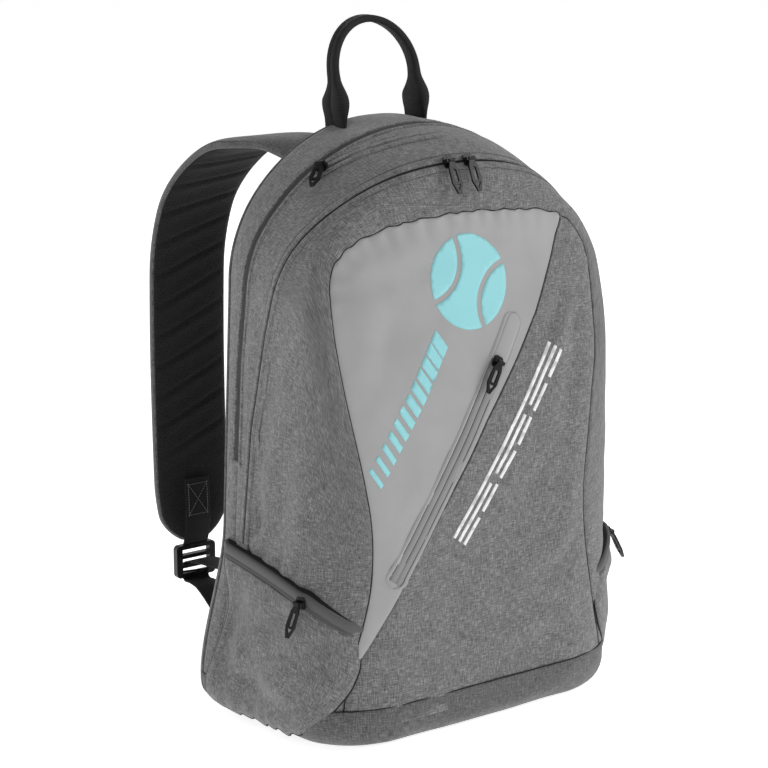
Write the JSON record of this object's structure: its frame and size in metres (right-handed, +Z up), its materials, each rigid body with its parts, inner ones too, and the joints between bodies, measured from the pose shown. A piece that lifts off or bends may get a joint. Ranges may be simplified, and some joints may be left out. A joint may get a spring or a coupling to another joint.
{
  "type": "racket backpack",
  "caption": "Soft backpack for rackets with an arched main zip, a front compartment, zipped side pockets, a carry loop and two padded shoulder straps.",
  "frame": {"origin": "centre of the base panel underside, the flat face that the bag stands on", "axes": "+Z up, the front of the bag faces -Y, the shoulder straps are on +Y, +X across the bag"},
  "size_m": [0.3558, 0.3126, 0.576],
  "materials": {
    "heather_fabric": "grey melange polyester weave",
    "light_fabric": "smooth light grey coated fabric",
    "black_webbing": "black ribbed polyester webbing",
    "air_mesh": "black spacer mesh over foam",
    "lining": "dark grey lining cloth",
    "zip_tape": "dark grey zip tape with moulded teeth",
    "slider_metal": "gloss black plated zinc",
    "buckle_plastic": "black moulded acetal"
  },
  "bodies": {
    "root": {"back_panel": "heather_fabric", "rear_gusset": "heather_fabric", "bottom_band": "heather_fabric", "lower_body": "heather_fabric", "light_panel_tip": "light_fabric", "base_panel": "heather_fabric", "divider_lower": "lining", "laptop_sleeve": "lining", "main_zip_rear": "zip_tape", "side_zip_right": "zip_tape", "side_zip_left": "zip_tape", "side_pocket_right": "heather_fabric", "side_pocket_left": "heather_fabric", "back_pad_right": "air_mesh", "back_pad_left": "air_mesh", "lumbar_pad": "air_mesh", "strap_yoke": "heather_fabric", "webbing_anchor_right": "heather_fabric", "webbing_anchor_left": "heather_fabric", "lower_webbing_right": "black_webbing", "lower_webbing_left": "black_webbing", "handle_feet": "black_webbing"},
    "main_flap": {"main_gusset": "heather_fabric", "main_zip_front": "zip_tape", "front_zip_rear": "zip_tape", "accessory_zip": "zip_tape", "divider_upper": "lining"},
    "front_flap": {"front_band": "heather_fabric", "front_panel": "heather_fabric", "light_panel": "light_fabric", "front_zip_front": "zip_tape", "diagonal_zip": "zip_tape", "zip_garage": "light_fabric", "diagonal_pocket_lining": "lining"},
    "handle": {"carry_handle": "black_webbing"},
    "strap_right": {"shoulder_strap_right": "heather_fabric", "adjuster_tab_right": "black_webbing"},
    "lock_right": {"ladder_lock_right": "buckle_plastic"},
    "tail_right": {"webbing_tail_right": "black_webbing"},
    "strap_left": {"shoulder_strap_left": "heather_fabric", "adjuster_tab_left": "black_webbing"},
    "lock_left": {"ladder_lock_left": "buckle_plastic"},
    "tail_left": {"webbing_tail_left": "black_webbing"},
    "slider_front_left": {"zip_slider_front_left": "slider_metal"},
    "pull_front_left": {"zip_pull_front_left": "slider_metal"},
    "slider_front_right": {"zip_slider_front_right": "slider_metal"},
    "pull_front_right": {"zip_pull_front_right": "slider_metal"},
    "slider_accessory": {"zip_slider_accessory": "slider_metal"},
    "pull_accessory": {"zip_pull_accessory": "slider_metal"},
    "slider_main_upper": {"zip_slider_main_upper": "slider_metal"},
    "pull_main_upper": {"zip_pull_main_upper": "slider_metal"},
    "slider_main_lower": {"zip_slider_main_lower": "slider_metal"},
    "pull_main_lower": {"zip_pull_main_lower": "slider_metal"},
    "slider_diagonal": {"zip_slider_diagonal": "slider_metal"},
    "pull_diagonal": {"zip_pull_diagonal": "slider_metal"},
    "slider_side_right": {"zip_slider_side_right": "slider_metal"},
    "pull_side_right": {"zip_pull_side_right": "slider_metal"},
    "slider_side_left": {"zip_slider_side_left": "slider_metal"},
    "pull_side_left": {"zip_pull_side_left": "slider_metal"}
  },
  "joints": [
    {"name": "main_flap_fold", "type": "hinge", "parent": "root", "child": "main_flap", "pos_m": [0, -0.088, 0.128], "axis": [1, 0, 0], "range_deg": [0, 25]},
    {"name": "front_flap_fold", "type": "hinge", "parent": "main_flap", "child": "front_flap", "pos_m": [0, -0.088, 0.128], "axis": [1, 0, 0], "range_deg": [0, 25]},
    {"name": "handle_swing", "type": "hinge", "parent": "root", "child": "handle", "pos_m": [0, 0.066, 0.501], "axis": [1, 0, 0], "range_deg": [-70, 70], "stiffness_Nm_per_rad": 0.05},
    {"name": "strap_right_swing", "type": "hinge", "parent": "root", "child": "strap_right", "pos_m": [0.05, 0.084, 0.469], "axis": [1, 0, 0], "range_deg": [0, 12]},
    {"name": "lock_right_tilt", "type": "hinge", "parent": "strap_right", "child": "lock_right", "pos_m": [0.098, 0.211, 0.0965], "axis": [1, 0, 0], "range_deg": [-8, 16]},
    {"name": "tail_right_pull", "type": "slide", "parent": "lock_right", "child": "tail_right", "axis": [0, -1, 0], "range_m": [0, 0.03]},
    {"name": "strap_left_swing", "type": "hinge", "parent": "root", "child": "strap_left", "pos_m": [-0.05, 0.084, 0.469], "axis": [1, 0, 0], "range_deg": [0, 12]},
    {"name": "lock_left_tilt", "type": "hinge", "parent": "strap_left", "child": "lock_left", "pos_m": [-0.098, 0.211, 0.0965], "axis": [1, 0, 0], "range_deg": [-8, 16]},
    {"name": "tail_left_pull", "type": "slide", "parent": "lock_left", "child": "tail_left", "axis": [0, -1, 0], "range_m": [0, 0.03]},
    {"name": "front_left_slide", "type": "hinge", "parent": "main_flap", "child": "slider_front_left", "pos_m": [0, -0.01609, 0.26724], "axis": [0, 0.9903, 0.1392], "range_deg": [-20, 0]},
    {"name": "front_right_slide", "type": "hinge", "parent": "main_flap", "child": "slider_front_right", "pos_m": [0, -0.01609, 0.26724], "axis": [0, 0.9903, 0.1392], "range_deg": [0, 20]},
    {"name": "accessory_slide", "type": "hinge", "parent": "main_flap", "child": "slider_accessory", "pos_m": [0, 0.08902, 0.37895], "axis": [0, 0.7175, 0.6966], "range_deg": [0, 74.22]},
    {"name": "main_upper_slide", "type": "slide", "parent": "root", "child": "slider_main_upper", "axis": [-0.0356, -0.1093, 0.9934], "range_m": [-0.008, 0.07]},
    {"name": "main_lower_slide", "type": "slide", "parent": "root", "child": "slider_main_lower", "axis": [-0.0464, -0.02, 0.9987], "range_m": [0, 0.024]},
    {"name": "diagonal_slide", "type": "hinge", "parent": "front_flap", "child": "slider_diagonal", "pos_m": [-0.06525, 1.00395, 0.1845], "axis": [0.8312, 0, -0.5559], "range_deg": [0, 9.72]},
    {"name": "side_right_slide", "type": "slide", "parent": "root", "child": "slider_side_right", "axis": [0.0169, 0.9885, 0.1504], "range_m": [0, 0.1]},
    {"name": "side_left_slide", "type": "slide", "parent": "root", "child": "slider_side_left", "axis": [-0.0169, 0.9885, 0.1504], "range_m": [0, 0.1]},
    {"name": "pull_front_left_flip", "type": "hinge", "parent": "slider_front_left", "child": "pull_front_left", "pos_m": [-0.01, -0.04899, 0.46593], "axis": [-1, 0, 0], "range_deg": [0, 150]},
    {"name": "pull_front_right_flip", "type": "hinge", "parent": "slider_front_right", "child": "pull_front_right", "pos_m": [0.01, -0.04899, 0.46593], "axis": [-1, 0, 0], "range_deg": [0, 150]},
    {"name": "pull_accessory_flip", "type": "hinge", "parent": "slider_accessory", "child": "pull_accessory", "pos_m": [-0.09383, 0.01267, 0.46379], "axis": [-0.5532, 0.8223, -0.1335], "range_deg": [0, 150]},
    {"name": "pull_main_upper_flip", "type": "hinge", "parent": "slider_main_upper", "child": "pull_main_upper", "pos_m": [0.15411, 0.052, 0.30056], "axis": [0, -1, 0], "range_deg": [0, 150]},
    {"name": "pull_main_lower_flip", "type": "hinge", "parent": "slider_main_lower", "child": "pull_main_lower", "pos_m": [0.15725, 0.0534, 0.23269], "axis": [0, -1, 0], "range_deg": [0, 150]},
    {"name": "pull_diagonal_flip", "type": "hinge", "parent": "slider_diagonal", "child": "pull_diagonal", "pos_m": [0.012, -0.08639, 0.30485], "axis": [-0.827, 0.1016, 0.553], "range_deg": [0, 150]},
    {"name": "pull_side_right_flip", "type": "hinge", "parent": "slider_side_right", "child": "pull_side_right", "pos_m": [0.16477, -0.05196, 0.12611], "axis": [-0.1961, -0.9806, 0], "range_deg": [0, 130]},
    {"name": "pull_side_left_flip", "type": "hinge", "parent": "slider_side_left", "child": "pull_side_left", "pos_m": [-0.16477, -0.05196, 0.12611], "axis": [-0.1961, 0.9806, 0], "range_deg": [0, 130]}
  ]
}
